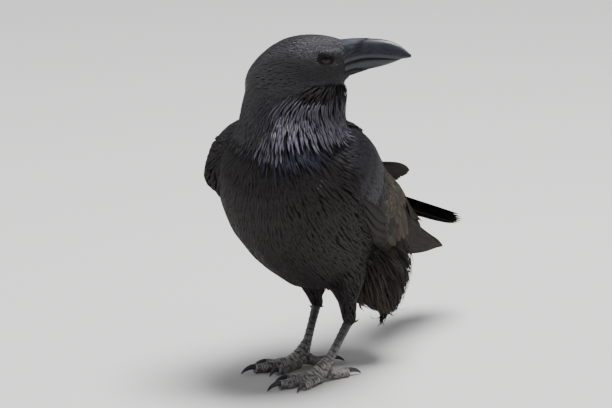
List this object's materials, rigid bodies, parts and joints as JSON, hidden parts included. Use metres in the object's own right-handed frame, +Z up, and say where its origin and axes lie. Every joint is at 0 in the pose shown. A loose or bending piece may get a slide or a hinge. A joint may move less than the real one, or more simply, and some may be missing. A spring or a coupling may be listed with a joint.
{
  "type": "raven",
  "caption": "Life-size still model of a standing raven, head turned over its left shoulder, wings folded loosely over a straight closed tail.",
  "frame": {"origin": "on the floor under the middle of the bird's box", "axes": "+Z up, -Y the way the breast faces, +X the bird's own left"},
  "size_m": [0.1969, 0.3867, 0.341],
  "materials": {
    "body_feathers": "near-black body feathers with a faint brown cast and blue-violet sheen on throat and shoulders",
    "flight_feathers": "smooth near-black vanes, worn to brown along the edges",
    "bill": "blue-black horn with a soft gloss",
    "eye": "wet dark brown eye",
    "feet": "dark blue-grey scaled skin, dull",
    "claws": "grey-black horn, polished"
  },
  "bodies": {
    "root": {"head": "body_feathers", "neck": "body_feathers", "trunk": "body_feathers", "thigh_right": "body_feathers", "thigh_left": "body_feathers", "vent_feathers": "body_feathers", "wing_left_coverts": "flight_feathers", "wing_left_secondaries": "flight_feathers", "wing_left_primaries": "flight_feathers", "wing_right_coverts": "flight_feathers", "wing_right_secondaries": "flight_feathers", "wing_right_primaries": "flight_feathers", "tail": "flight_feathers", "upper_bill": "bill", "lower_bill": "bill", "eye_right": "eye", "eye_left": "eye", "tarsus_right": "feet", "toe_right_hallux": "feet", "toe_right_inner": "feet", "toe_right_middle": "feet", "toe_right_outer": "feet", "claw_right_hallux": "claws", "claw_right_inner": "claws", "claw_right_middle": "claws", "claw_right_outer": "claws", "tarsus_left": "feet", "toe_left_hallux": "feet", "toe_left_inner": "feet", "toe_left_middle": "feet", "toe_left_outer": "feet", "claw_left_hallux": "claws", "claw_left_inner": "claws", "claw_left_middle": "claws", "claw_left_outer": "claws"}
  },
  "joints": []
}
